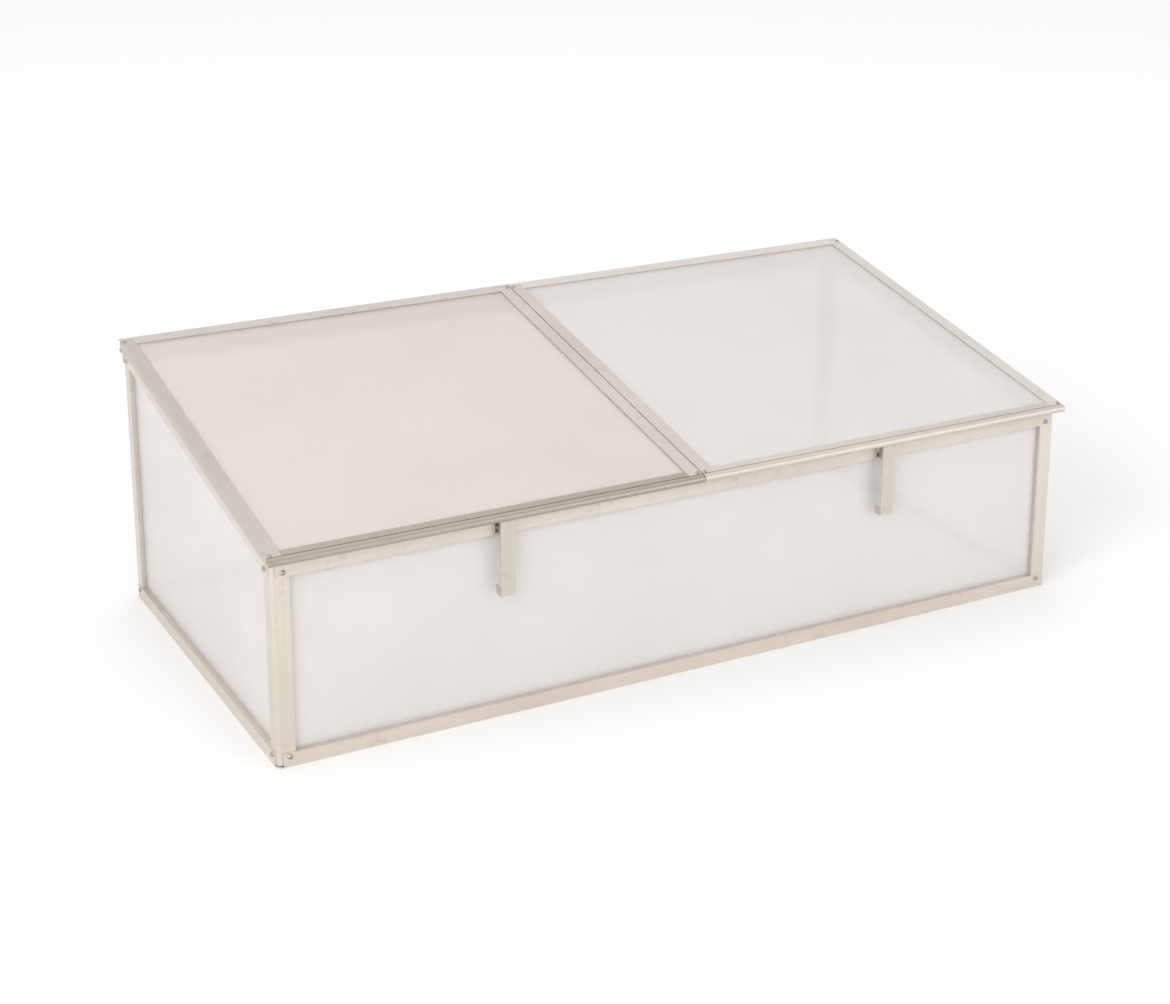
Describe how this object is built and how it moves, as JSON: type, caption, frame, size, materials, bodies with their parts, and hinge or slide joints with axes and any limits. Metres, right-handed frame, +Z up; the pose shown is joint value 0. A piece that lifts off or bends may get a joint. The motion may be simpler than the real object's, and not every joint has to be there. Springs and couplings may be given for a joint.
{
  "type": "cold frame",
  "caption": "Low sloping aluminium cold frame glazed in twin-wall sheet, with two lids that hinge up from the back and hanging slotted stays at the front.",
  "frame": {"origin": "centre of the bounding box on the ground plane", "axes": "+X along the length, -Y the low front, +Y the high back with the hinge line, +Z up"},
  "size_m": [1.26, 0.6392, 0.41],
  "materials": {
    "frame_aluminium": "mill finish, satin",
    "lid_aluminium": "mill finish, satin, greyer",
    "twin_wall_sheet": "milky clear twin-wall sheet with upright flutes",
    "steel_fasteners": "zinc plated"
  },
  "bodies": {
    "frame": {"front_bottom_rail": "frame_aluminium", "back_bottom_rail": "frame_aluminium", "left_bottom_rail": "frame_aluminium", "right_bottom_rail": "frame_aluminium", "front_top_rail": "frame_aluminium", "back_top_rail": "frame_aluminium", "left_top_rail": "frame_aluminium", "right_top_rail": "frame_aluminium", "front_left_post": "frame_aluminium", "front_right_post": "frame_aluminium", "back_left_post": "frame_aluminium", "back_right_post": "frame_aluminium", "front_panel": "twin_wall_sheet", "back_panel": "twin_wall_sheet", "left_panel": "twin_wall_sheet", "right_panel": "twin_wall_sheet", "frame_bolts": "steel_fasteners", "frame_nuts": "steel_fasteners", "hinge_end_stops": "lid_aluminium", "end_stop_screws": "steel_fasteners"},
    "left_lid": {"left_lid_back_rail": "frame_aluminium", "left_lid_front_rail": "lid_aluminium", "left_lid_outer_stile": "frame_aluminium", "left_lid_inner_stile": "frame_aluminium", "left_lid_panel": "twin_wall_sheet", "left_lid_screws": "steel_fasteners"},
    "right_lid": {"right_lid_back_rail": "frame_aluminium", "right_lid_front_rail": "lid_aluminium", "right_lid_outer_stile": "frame_aluminium", "right_lid_inner_stile": "frame_aluminium", "right_lid_panel": "twin_wall_sheet", "right_lid_screws": "steel_fasteners"},
    "left_stay_bar": {"left_stay": "frame_aluminium"},
    "right_stay_bar": {"right_stay": "frame_aluminium"}
  },
  "joints": [
    {"name": "left_lid_hinge", "type": "hinge", "parent": "frame", "child": "left_lid", "pos_m": [-0.3154, 0.3124, 0.405], "axis": [-1, 0, 0], "range_deg": [0, 104]},
    {"name": "right_lid_hinge", "type": "hinge", "parent": "frame", "child": "right_lid", "pos_m": [0.3154, 0.3124, 0.405], "axis": [-1, 0, 0], "range_deg": [0, 104]},
    {"name": "left_stay_hinge", "type": "hinge", "parent": "left_lid", "child": "left_stay_bar", "pos_m": [-0.3, -0.3146, 0.293], "axis": [1, 0, 0], "range_deg": [0, 78]},
    {"name": "right_stay_hinge", "type": "hinge", "parent": "right_lid", "child": "right_stay_bar", "pos_m": [0.31, -0.3146, 0.293], "axis": [1, 0, 0], "range_deg": [0, 78]}
  ],
  "couplings": [
    {"joint": "left_stay_hinge", "follows": "left_lid_hinge", "ratio": 0.75},
    {"joint": "right_stay_hinge", "follows": "right_lid_hinge", "ratio": 0.75}
  ]
}
